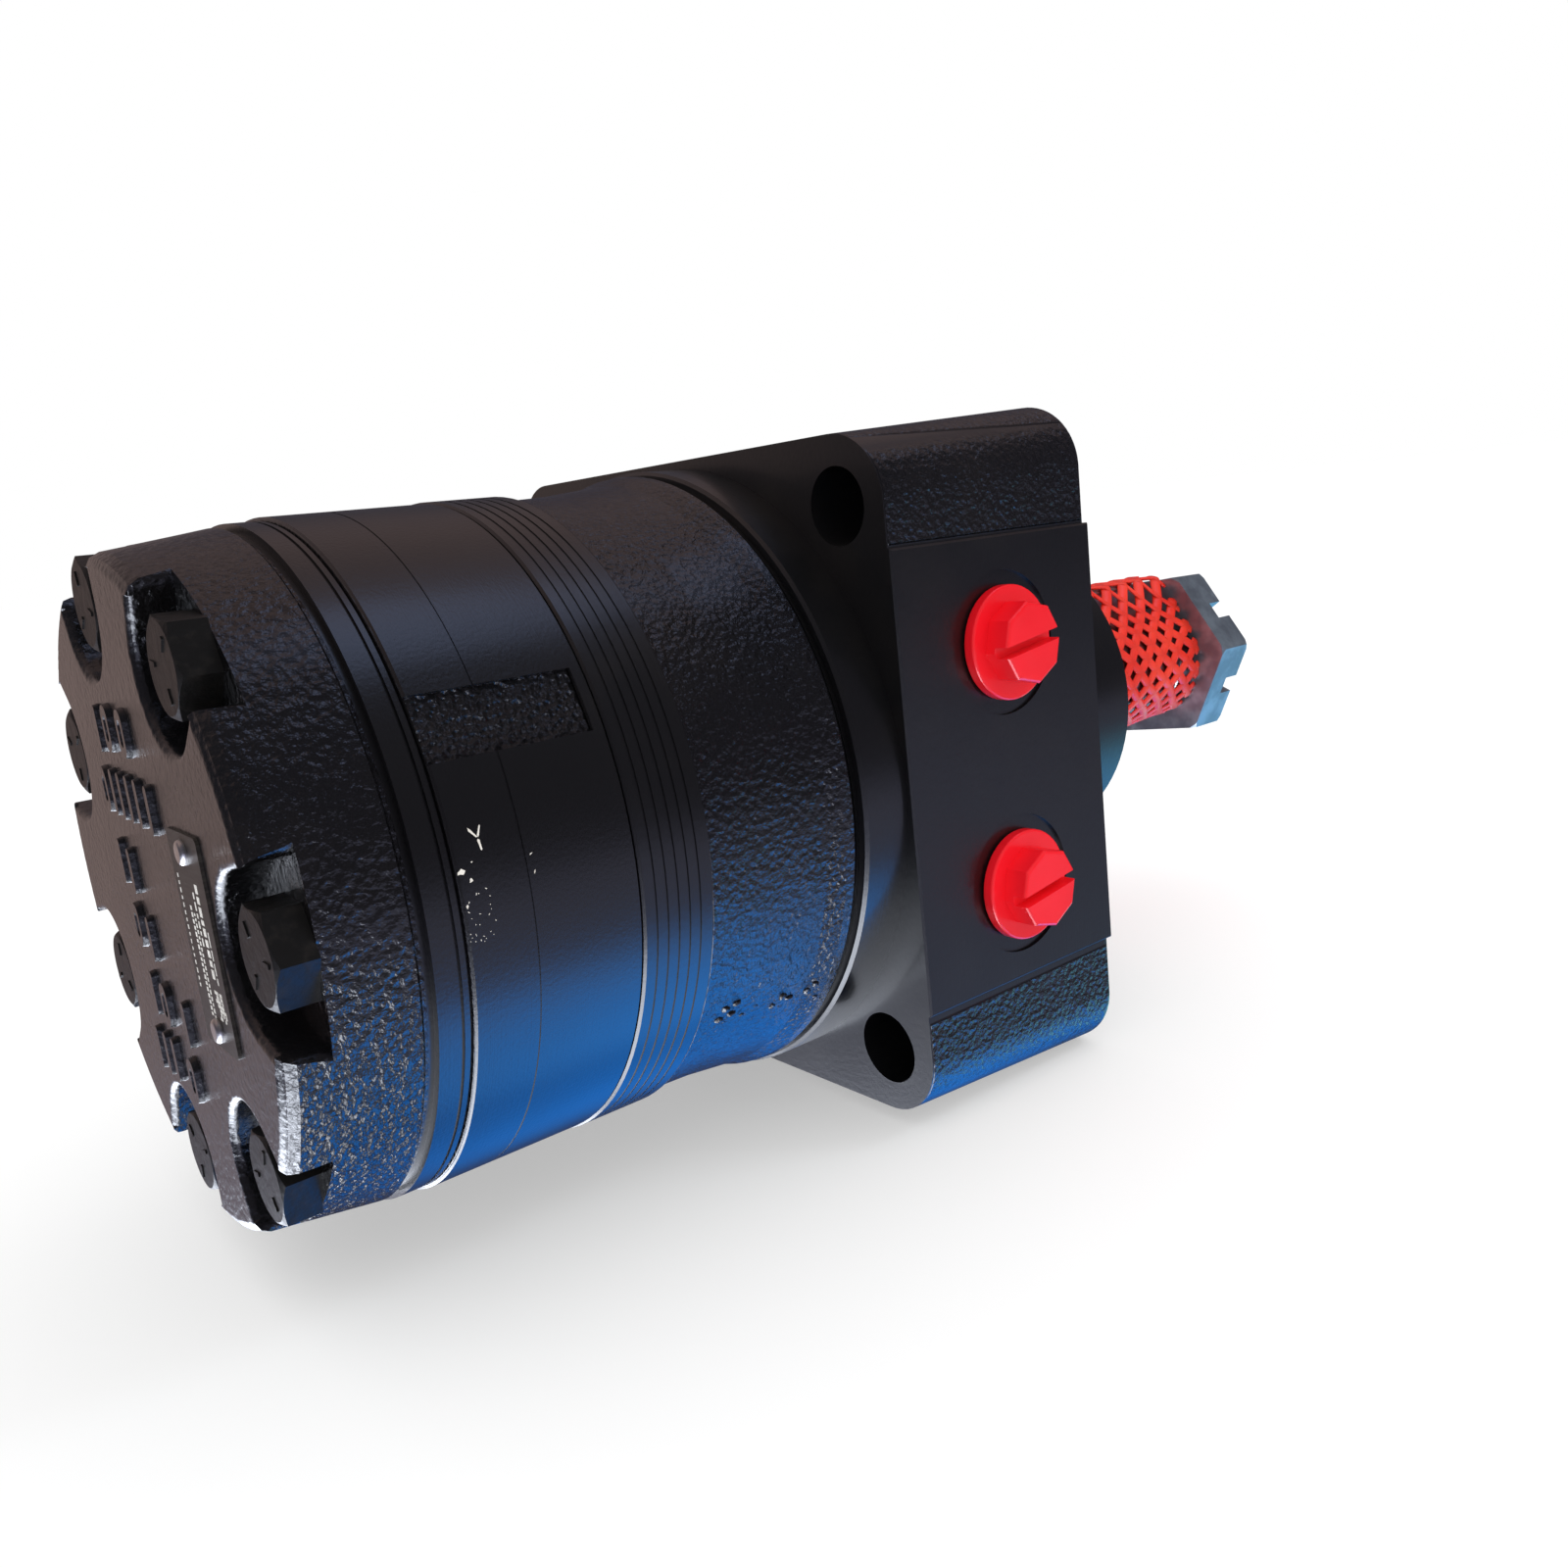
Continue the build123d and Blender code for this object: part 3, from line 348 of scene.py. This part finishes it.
slot_of = {part["node"]: part["material_slot"] for part in frame["record"]["subparts"]}
finishes = {
    "black_cast_paint": cast_paint("housing_paint", housing_smooth, 820.0, 0.00045),
    "black_turned_paint": turned_paint("turned_paint"),
    "black_bolt_paint": bolt_paint("bolt_paint"),
    "plate_black": plate_finish("plate_finish"),
    "screw_steel": metal("screw_steel", (0.80, 0.79, 0.78), (0.55, 0.54, 0.53), 0.22, 500.0),
    "ground_steel": metal("ground_steel", (0.50, 0.50, 0.51), (0.34, 0.34, 0.35), 0.25, 260.0),
    "grey_iron": metal("grey_iron", (0.30, 0.30, 0.30), (0.18, 0.18, 0.18), 0.5, 300.0, 0.0001),
    "seal_rubber": rubber("seal_rubber", (0.012, 0.012, 0.012)),
    "seal_plastic": plastic("seal_plastic", (0.55, 0.46, 0.28), (0.45, 0.36, 0.2), 0.4, 0.0),
    "zinc_plate": zinc("zinc_plate"),
    "net_plastic": plastic("net_plastic", (0.90, 0.045, 0.02), (0.75, 0.02, 0.01), 0.25, 0.15, 420.0),
    "plug_plastic": plastic("plug_plastic", (0.90, 0.011, 0.022), (0.80, 0.006, 0.014), 0.14, 0.10, 240.0),
}
cover_paint = cast_paint("cover_paint", cover_smooth, 760.0, 0.00042)


def paint(obj, material):
    obj.data.materials.clear()
    obj.data.materials.append(material)


for name, obj in nodes.items():
    paint(obj, finishes[slot_of[name]])
paint(nodes["end_cover"], cover_paint)

# ------------------------------------------------------------------ pieces made here


def piece(name, points, faces, material, body, smooth=True):
    """A mesh piece of the object that moves with a CAD body."""
    mesh = bpy.data.meshes.new(name)
    mesh.from_pydata(points, [], faces)
    mesh.validate()
    mesh.polygons.foreach_set("use_smooth", [smooth] * len(mesh.polygons))
    made = bpy.data.objects.new(name, mesh)
    scene.collection.objects.link(made)
    paint(made, material)
    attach(made, body)
    return made


def ring_sides(first, sides, rings=1):
    """For stacked rings of points: the index of each point and of the next point in its ring."""
    for ring in range(rings):
        start = first + ring * sides
        for side in range(sides):
            yield start + side, start + (side + 1) % sides


# net sleeve
TAPER_LARGE_R = 19.05 * MM
TAPER_START = 105.0 * MM
TAPER_END = 155.0 * MM
TAPER_SLOPE = 1 / 16
KEY_TOP = 22.5 * MM
KEY_HALF = 4.75 * MM
NET_CLEARANCE = 0.35 * MM
STRANDS = 16
STRAND_WIDTH = 2.9 * MM
STRAND_THICKNESS = 1.0 * MM
DIAMOND_LENGTH = 7.8 * MM
STRAND_STEPS = 100
STRAND_SIDES = 10
SWAY = 0.02
SWAY_RATE = 410.0
SWAY_SHIFT = 1.7
LOOK_AHEAD = 0.25 * MM


def sleeve_radius(x, angle):
    """Distance from the axis to the inside of the net, stretched over the taper and the key on top."""
    taper_x = min(max(x, TAPER_START), TAPER_END)
    core = TAPER_LARGE_R - (taper_x - TAPER_START) * TAPER_SLOPE + NET_CLEARANCE
    top = KEY_TOP + NET_CLEARANCE
    from_top = abs((angle - math.pi / 2 + math.pi) % (2 * math.pi) - math.pi)
    corner = math.atan2(KEY_HALF, top)
    if from_top <= corner:
        return top / math.cos(from_top)
    touch = corner + math.acos(core / math.hypot(KEY_HALF, top))
    if from_top < touch:
        return core / math.cos(touch - from_top)
    return core


def strand_middle(x, angle):
    radius = sleeve_radius(x, angle) + STRAND_THICKNESS / 2
    return Vector((x, radius * math.cos(angle), radius * math.sin(angle)))


def strand_ring(x, angle, turn_rate):
    """Points round one strand where it passes x: an ellipse that lies flat on the sleeve."""
    middle = strand_middle(x, angle)
    ahead = strand_middle(x + LOOK_AHEAD, angle + turn_rate * LOOK_AHEAD)
    along = (ahead - middle).normalized()
    outward = Vector((0, math.cos(angle), math.sin(angle)))
    across = along.cross(outward).normalized()
    outward = across.cross(along).normalized()
    for side in range(STRAND_SIDES):
        around = 2 * math.pi * side / STRAND_SIDES
        offset = across * (math.cos(around) * STRAND_WIDTH / 2)
        offset += outward * (math.sin(around) * STRAND_THICKNESS / 2)
        yield middle + offset


def make_net():
    """Flat strands wound both ways, crossing in diamonds over the taper and the key."""
    net_low, net_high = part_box("shaft_net")
    length = net_high.x - net_low.x
    turn_rate = (math.pi / STRANDS) / (DIAMOND_LENGTH / 2)
    points = []
    faces = []
    for direction in (1, -1):
        for strand in range(STRANDS):
            first = len(points)
            start_angle = 2 * math.pi * strand / STRANDS
            for step in range(STRAND_STEPS + 1):
                x = net_low.x + length * step / STRAND_STEPS
                sway = SWAY * math.sin(x * SWAY_RATE + strand * SWAY_SHIFT + direction)
                angle = start_angle + direction * turn_rate * (x - net_low.x) + sway
                points.extend(strand_ring(x, angle, direction * turn_rate))
            for here, beside in ring_sides(first, STRAND_SIDES, STRAND_STEPS):
                faces.append((here, beside, beside + STRAND_SIDES, here + STRAND_SIDES))
            faces.append(tuple(first + side for side in reversed(range(STRAND_SIDES))))
            last = first + STRAND_STEPS * STRAND_SIDES
            faces.append(tuple(last + side for side in range(STRAND_SIDES)))
    return piece("net_strands", points, faces, finishes["net_plastic"], "shaft_group")


# nameplate print: (y, first z, last z, bar height, shortest bar, longest bar, gap), in mm
PRINT_ROWS = [
    (-22.6, 8.5, -9.5, 0.5, 0.5, 0.9, 0.55),
    (-26.6, 4.0, -13.0, 0.8, 0.5, 0.8, 0.35),
    (-28.0, 3.0, -13.5, 0.6, 0.4, 0.8, 0.35),
    (-29.6, 6.5, -2.0, 0.6, 0.6, 1.6, 0.45),
    (-31.8, 8.0, -6.0, 1.3, 0.4, 1.7, 0.45),
    (-33.6, 1.0, -7.5, 0.35, 1.0, 2.4, 0.4),
]
PRINT_THICKNESS = 0.05 * MM
PRINT_SUNK = 0.02 * MM
CELLS = 7  # along each side of the square of cells, in mm below
CELL_Y, CELL_Z = -34.6, -8.6
CELL_PITCH_Y, CELL_PITCH_Z = 0.62, 0.68
CELL_HEIGHT, CELL_LENGTH = 0.5, 0.56
CELLS_FILLED = 0.62


def print_bars():
    """Low y, high y, low z, high z of every bar and cell, in mm."""
    bars = []
    for row_y, z, last_z, height, short, long, gap in PRINT_ROWS:
        while z > last_z:
            length = random.uniform(short, long)
            bars.append((row_y - height / 2, row_y + height / 2, z - length, z))
            z -= length + gap
    for cell_row in range(CELLS):
        for cell in range(CELLS):
            if random.random() < CELLS_FILLED:
                y = CELL_Y + cell_row * CELL_PITCH_Y
                z = CELL_Z - cell * CELL_PITCH_Z
                bars.append((y, y + CELL_HEIGHT, z - CELL_LENGTH, z))
    return bars


def make_print():
    """Rows of short plain bars in place of the nameplate's print, no lettering."""
    plate_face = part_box("nameplate")[0].x
    look = metal("print_white", (0.80, 0.79, 0.76), (0.60, 0.58, 0.55), 0.5, 900.0, 0.00002, 0.0)
    points = []
    faces = []
    for y_low, y_high, z_low, z_high in print_bars():
        first = len(points)
        for x in (plate_face + PRINT_SUNK, plate_face - PRINT_THICKNESS):
            for y, z in ((y_low, z_low), (y_high, z_low), (y_high, z_high), (y_low, z_high)):
                points.append((x, y * MM, z * MM))
        faces.append((first, first + 1, first + 2, first + 3))
        faces.append((first + 7, first + 6, first + 5, first + 4))
        for here, beside in ring_sides(first, 4):
            faces.append((beside, here, here + 4, beside + 4))
    piece("nameplate_print", points, faces, look, "casing", smooth=False)


# paint chips: (x in mm, degrees above the port side, length in mm, width in mm, direction in degrees)
CHIPS = [
    (-82.15, 11.2, 2.9, 0.50, -54.0),
    (-81.15, 11.2, 2.5, 0.45, 68.0),
    (-81.4, 9.5, 2.5, 0.55, -83.0),
    (-85.0, 6.4, 1.6, 1.1, 10.0),
    (-83.8, 5.0, 1.0, 0.7, 60.0),
    (-83.2, 7.4, 0.4, 0.3, 0.0),
    (-85.1, 1.6, 0.8, 0.5, 80.0),
    (-73.9, 6.4, 0.7, 0.22, 30.0),
    (-73.8, 3.8, 0.8, 0.25, 70.0),
]
SPECKS = 26
CHIP_SIDES = 9
CHIP_RINGS = ((-0.05, 1.0), (0.035, 0.8))  # lift off the ring in mm, share of the full size


def random_speck():
    x = random.uniform(-85.4, -81.0)
    degrees = random.uniform(-4.5, 3.5)
    length = random.uniform(0.18, 0.55)
    width = random.uniform(0.1, 0.2)
    return x, degrees, length, width, random.uniform(0, 180)


def make_chips():
    """Pale chips and specks in the paint of the stator ring."""
    look = metal("paint_chip", (0.86, 0.83, 0.78), (0.60, 0.55, 0.48), 0.55, 900.0, 0.00005, 0.0)
    ring_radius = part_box("stator_ring")[1].z
    points = []
    faces = []
    for x, degrees, length, width, way in CHIPS + [random_speck() for speck in range(SPECKS)]:
        first = len(points)
        cosine, sine = math.cos(math.radians(way)), math.sin(math.radians(way))
        for lift, shrink in CHIP_RINGS:
            for side in range(CHIP_SIDES):
                around = 2 * math.pi * side / CHIP_SIDES
                wobble = shrink * (0.8 + 0.2 * math.sin(side * 2.4 + x))
                along = math.cos(around) * length / 2 * wobble
                across = math.sin(around) * width / 2 * wobble
                point_x = x * MM + (along * cosine - across * sine) * MM
                arc = (along * sine + across * cosine) * MM / ring_radius
                angle = math.pi - math.radians(degrees) - arc
                radius = ring_radius + lift * MM
                points.append((point_x, radius * math.cos(angle), radius * math.sin(angle)))
        faces.append(tuple(first + side for side in range(CHIP_SIDES)))
        faces.append(tuple(first + CHIP_SIDES + side for side in reversed(range(CHIP_SIDES))))
        for here, beside in ring_sides(first, CHIP_SIDES):
            faces.append((beside, here, here + CHIP_SIDES, beside + CHIP_SIDES))
    piece("paint_chips", points, faces, look, "casing", smooth=False)


# drips: (x, degrees below the port side, length along x, width round the housing, height), lengths in mm
DRIPS = [
    (-36.8, 35.4, 2.0, 1.4, 0.8),
    (-36.0, 32.9, 1.8, 1.6, 0.8),
    (-34.2, 34.9, 1.9, 1.5, 0.8),
    (-33.7, 32.4, 1.8, 1.9, 0.8),
    (-31.4, 36.4, 1.3, 1.0, 0.5),
    (-28.6, 35.2, 1.2, 1.0, 0.4),
    (-24.4, 36.8, 1.5, 1.5, 0.7),
    (-22.9, 34.6, 1.7, 2.0, 0.8),
    (-21.1, 35.6, 1.8, 1.8, 0.8),
    (-17.3, 34.9, 1.5, 1.7, 0.7),
    (-16.2, 33.2, 1.4, 1.8, 0.7),
    (-15.2, 36.6, 1.1, 1.2, 0.5),
]
DRIP_RINGS = 6
DRIP_SIDES = 18
DRIP_SUNK = 0.25 * MM
OUTSIDE = 0.2


def housing_radius(x, angle):
    """How far from the axis a line from outside first meets the housing."""
    housing = nodes["housing"]
    outward = Vector((0, math.cos(angle), math.sin(angle)))
    start = Vector((x, 0, 0)) + outward * OUTSIDE
    into = housing.matrix_world.inverted()
    place = housing.ray_cast(into @ start, into.to_3x3() @ -outward)[1]
    return (housing.matrix_world @ place).yz.length


def make_drips():
    """Paint that gathered in beads low on the housing, each a lumpy dome on the real surface."""
    points = []
    faces = []
    for x, degrees, length, width, height in DRIPS:
        angle = math.pi + math.radians(degrees)
        first = len(points)
        base_radius = housing_radius(x * MM, angle) - DRIP_SUNK
        for ring in range(DRIP_RINGS):
            tilt = ring / DRIP_RINGS * math.pi / 2
            for side in range(DRIP_SIDES):
                around = 2 * math.pi * side / DRIP_SIDES
                lumpy = 1 + 0.12 * math.sin(3 * around + x) + 0.07 * math.sin(5 * around + degrees)
                along = math.cos(around) * math.cos(tilt) * lumpy * length / 2 * MM
                across = math.sin(around) * math.cos(tilt) * lumpy * width / 2 * MM
                radius = base_radius + math.sin(tilt) * height * MM
                turned = angle + across / base_radius
                points.append((x * MM + along, radius * math.cos(turned), radius * math.sin(turned)))
        top_radius = base_radius + height * MM
        top = len(points)
        points.append((x * MM, top_radius * math.cos(angle), top_radius * math.sin(angle)))
        for here, beside in ring_sides(first, DRIP_SIDES, DRIP_RINGS - 1):
            faces.append((here, here + DRIP_SIDES, beside + DRIP_SIDES, beside))
        last = first + (DRIP_RINGS - 1) * DRIP_SIDES
        for here, beside in ring_sides(last, DRIP_SIDES):
            faces.append((here, top, beside))
        faces.append(tuple(first + side for side in range(DRIP_SIDES)))
    piece("paint_drips", points, faces, finishes["black_cast_paint"], "casing")


net = make_net()
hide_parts("shaft_net")
random.seed(7)
make_print()
make_chips()
make_drips()

# ------------------------------------------------------------------ floor, light and camera

FLOOR_REACH = 40.0


def make_floor():
    """Wide pale paper that the housing stands on."""
    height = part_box("housing")[0].z
    corners = [(-1, -1), (1, -1), (1, 1), (-1, 1)]
    mesh = bpy.data.meshes.new("floor")
    mesh.from_pydata([(x * FLOOR_REACH, y * FLOOR_REACH, height) for x, y in corners], [], [(0, 1, 2, 3)])
    made = bpy.data.objects.new("floor", mesh)
    scene.collection.objects.link(made)
    look = Surface("floor_paper")
    look.set(
        Base_Color=(0.60, 0.60, 0.60, 1),
        Roughness=0.95,
        Specular_IOR_Level=0.0,
        Emission_Color=(1, 1, 1, 1),
        Emission_Strength=0.40,
    )
    paint(made, look.material)
    made.visible_glossy = False
    return made


def make_studio():
    """The camera sees plain white, the paint mirrors coloured sheets, and plain light does the rest."""
    world = bpy.data.worlds.new("studio")
    scene.world = world
    g = Graph(world)
    path = g.node("ShaderNodeLightPath")
    direction = g.node("ShaderNodeTexCoord").outputs["Generated"]
    way_x, way_y, way_z = g.node("ShaderNodeSeparateXYZ", {0: direction}).outputs

    def both(a, b):
        return g.math("MULTIPLY", a, b)

    def towards(goal, low, high):
        """1 near one direction, 0 away from it."""
        inputs = {0: direction, 1: Vector(goal).normalized()}
        dot = g.node("ShaderNodeVectorMath", inputs, operation="DOT_PRODUCT").outputs["Value"]
        return g.step(dot, low, high)

    def glow(colour, amount):
        inputs = {0: colour, "Scale": amount}
        return g.node("ShaderNodeVectorMath", inputs, operation="SCALE").outputs[0]

    def add(a, b):
        return g.node("ShaderNodeVectorMath", {0: a, 1: b}, operation="ADD").outputs[0]

    low_down = both(g.step(way_z, -0.58, -0.80), g.step(way_x, 0.08, 0.36))
    blue_sheet = both(low_down, g.step(way_y, 0.85, 0.30))
    blue_spot = towards((0.47, -0.38, -0.80), 0.90, 0.99)
    grey_front = both(g.step(way_z, 0.0, -0.26), g.step(way_y, -0.30, -0.75))
    white_under = both(g.step(way_z, -0.80, -0.94), g.step(way_x, 0.10, -0.16))
    white_left = both(g.step(way_z, -0.52, -0.72), g.step(way_x, -0.20, -0.42))
    white_back = both(g.step(way_z, -0.42, -0.62), g.step(way_y, 0.38, 0.60))
    white_back = both(white_back, g.step(way_x, 0.10, -0.06))
    white = g.math("MAXIMUM", both(white_under, 0.3), white_left)
    white = g.math("MAXIMUM", white, white_back)
    pale_floor = both(g.step(way_z, -0.18, -0.45), g.step(way_x, 0.0, -0.4))
    far_sheet = both(g.step(way_z, -0.30, -0.55), g.step(way_x, 0.74, 0.84))
    warm_top = both(g.step(way_z, 0.30, 0.75), g.step(way_y, -0.45, 0.25))
    warm_wall = towards((-0.25, 0.95, 0.02), 0.80, 0.99)
    window_above = towards((0.31, -0.13, 0.92), 0.955, 0.99)
    sheets = [
        ((0.0, 0.58, 2.2), blue_sheet),
        ((0.16, 0.85, 2.3), blue_spot),
        ((0.36, 0.37, 0.52), grey_front),
        ((7.5, 8.0, 9.0), white),
        ((0.26, 0.29, 0.42), pale_floor),
        ((0.45, 1.50, 1.90), far_sheet),
        ((0.23, 0.15, 0.12), warm_top),
        ((0.30, 0.21, 0.17), warm_wall),
        ((0.58, 0.78, 1.30), window_above),
    ]
    reflected = (0.060, 0.055, 0.075)
    for colour, amount in sheets:
        reflected = add(reflected, glow(colour, amount))
    reflection = g.node("ShaderNodeBackground", {"Color": reflected, "Strength": 1.0}).outputs[0]
    ambient = g.node("ShaderNodeBackground", {"Color": (1, 1, 1, 1), "Strength": 1.04}).outputs[0]
    backdrop = g.node("ShaderNodeBackground", {"Color": (1, 1, 1, 1), "Strength": 1.0}).outputs[0]
    not_diffused = g.math("LESS_THAN", path.outputs["Diffuse Depth"], 0.5)
    first_gloss = both(path.outputs["Is Glossy Ray"], not_diffused)
    soft = g.node("ShaderNodeMixShader", {0: first_gloss, 1: ambient, 2: reflection}).outputs[0]
    whole = g.node("ShaderNodeMixShader", {0: path.outputs["Is Camera Ray"], 1: soft, 2: backdrop})
    g.node("ShaderNodeOutputWorld", {0: whole.outputs[0]})


def panel(name, place, size, power, colour):
    """Soft rectangular light aimed at the origin, seen by neither the camera nor the reflections."""
    data = bpy.data.lights.new(name, "AREA")
    data.shape = "RECTANGLE"
    data.size, data.size_y = size
    data.energy = power
    data.color = colour
    lamp = bpy.data.objects.new(name, data)
    scene.collection.objects.link(lamp)
    lamp.location = place
    lamp.rotation_euler = (-Vector(place)).to_track_quat("-Z", "Y").to_euler()
    lamp.visible_camera = False
    lamp.visible_glossy = False


# the photograph's viewpoint: place in metres, angles in degrees, lens in mm on a 36 mm sensor
CAMERA_PLACE = (-0.15802, -0.22976, 0.05069)
CAMERA_HEADING = 51.9199
CAMERA_TILT = -11.4767
CAMERA_ROLL = -6.2006
CAMERA_LENS = 29.58345


def make_camera():
    """Heading turns from +X towards +Y, tilt is up from level, and roll is about the view's own axis."""
    data = bpy.data.cameras.new("camera")
    made = bpy.data.objects.new("camera", data)
    scene.collection.objects.link(made)
    data.sensor_width = 36.0
    data.lens = CAMERA_LENS
    data.clip_start = 0.01
    heading = math.radians(CAMERA_HEADING)
    tilt = math.radians(CAMERA_TILT)
    level = math.cos(tilt)
    ahead = Vector((level * math.cos(heading), level * math.sin(heading), math.sin(tilt)))
    roll = Quaternion((0, 0, 1), math.radians(CAMERA_ROLL))
    turn = ahead.to_track_quat("-Z", "Y") @ roll
    made.matrix_world = Matrix.Translation(CAMERA_PLACE) @ turn.to_matrix().to_4x4()
    return made


floor = make_floor()
make_studio()
panel("overhead", (0.0, -0.3, 1.6), (2.4, 2.4), 6.0, (1.0, 0.99, 0.98))
panel("window", (0.70, -0.62, 0.80), (0.30, 0.18), 1.6, (0.86, 0.92, 1.0))
scene.camera = make_camera()

scene.view_settings.view_transform = "Standard"
scene.view_settings.look = "None"
